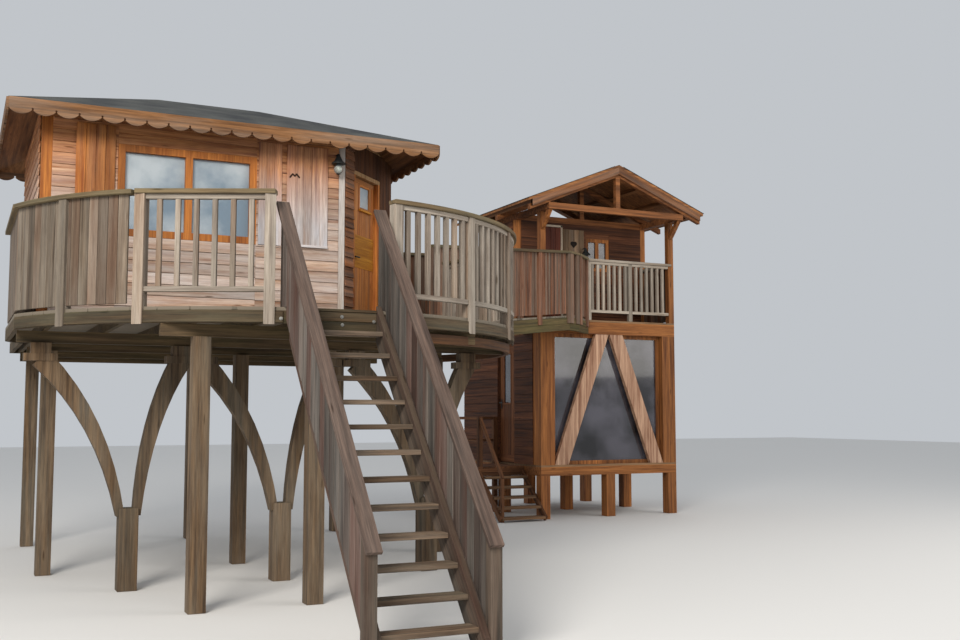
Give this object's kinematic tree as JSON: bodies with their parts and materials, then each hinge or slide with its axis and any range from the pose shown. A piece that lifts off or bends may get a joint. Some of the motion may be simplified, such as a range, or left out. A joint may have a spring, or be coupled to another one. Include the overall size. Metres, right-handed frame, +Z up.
{
  "type": "tree house",
  "caption": "Timber tree house on posts: hipped cabin on a round raised deck with a steep stair, and a boarded walkway to a gabled two-storey lodge with a balcony.",
  "frame": {"origin": "centre of the whole footprint, on the ground", "axes": "+Z up; +X along the cabin's front, from the cabin towards the lodge; +Y from the foot of the stair back towards the lodge"},
  "size_m": [11.0898, 11.35, 5.7714],
  "materials": {
    "dark_timber": "rough sawn, dark stained",
    "mossy_timber": "weathered, green with moss",
    "deck_boards": "weathered grey boards",
    "grey_rail_timber": "silver-grey weathered",
    "red_rail_boards": "red-brown weathered boards",
    "stair_timber": "brown-grey weathered",
    "cabin_boards": "bleached boards with orange stain near the eaves",
    "orange_timber": "orange stained",
    "warm_timber": "brown stained",
    "fascia_boards": "light brown boards",
    "lodge_boards": "red-brown stained boards",
    "pale_braces": "lighter planed timber",
    "roof_covering": "dark grey mineral roofing",
    "window_glass": "clear, reflecting",
    "dark_metal": "dark painted"
  },
  "bodies": {
    "building": {"deck_posts": "dark_timber", "deck_bearers": "mossy_timber", "deck_frame": "mossy_timber", "deck_floor": "deck_boards", "deck_railing_left": "grey_rail_timber", "deck_railing_boarded": "red_rail_boards", "deck_railing_curved": "grey_rail_timber", "stair_stringers": "stair_timber", "stair_treads": "stair_timber", "stair_newels": "stair_timber", "stair_railing_left": "stair_timber", "stair_railing_right": "stair_timber", "cabin_front_wall": "cabin_boards", "cabin_rear_walls": "cabin_boards", "cabin_door_wall": "warm_timber", "doorway_heads": "warm_timber", "cabin_frame": "warm_timber", "cabin_window_frame": "orange_timber", "cabin_window_glass": "window_glass", "cabin_shutters": "cabin_boards", "cabin_roof": "roof_covering", "cabin_fascia": "fascia_boards", "wall_lanterns": "dark_metal", "walkway_floor": "deck_boards", "walkway_frame": "mossy_timber", "walkway_railing_near": "red_rail_boards", "walkway_railing_far": "red_rail_boards", "lodge_posts": "warm_timber", "lodge_beams": "warm_timber", "lodge_floors": "deck_boards", "lodge_lower_walls": "lodge_boards", "lodge_frames": "warm_timber", "lodge_glazing": "window_glass", "lodge_braces": "pale_braces", "lodge_landing": "lodge_boards", "lodge_steps": "stair_timber", "lodge_upper_walls": "lodge_boards", "balcony_railing": "grey_rail_timber", "lodge_truss": "warm_timber", "lodge_purlins": "warm_timber", "lodge_roof": "orange_timber"},
    "cabin_door_leaf": {"cabin_door": "orange_timber", "cabin_door_pane": "window_glass"},
    "lodge_door_leaf": {"lodge_door": "lodge_boards", "lodge_door_pane": "window_glass"}
  },
  "joints": [
    {"name": "cabin_door_hinge", "type": "hinge", "parent": "building", "child": "cabin_door_leaf", "pos_m": [-1.17661, 0.56108, 2.6], "axis": [0, 0, -1], "range_deg": [0, 90]},
    {"name": "lodge_door_hinge", "type": "hinge", "parent": "building", "child": "lodge_door_leaf", "pos_m": [2.64187, 3.68497, 0.85], "axis": [0, 0, -1], "range_deg": [0, 90]}
  ]
}
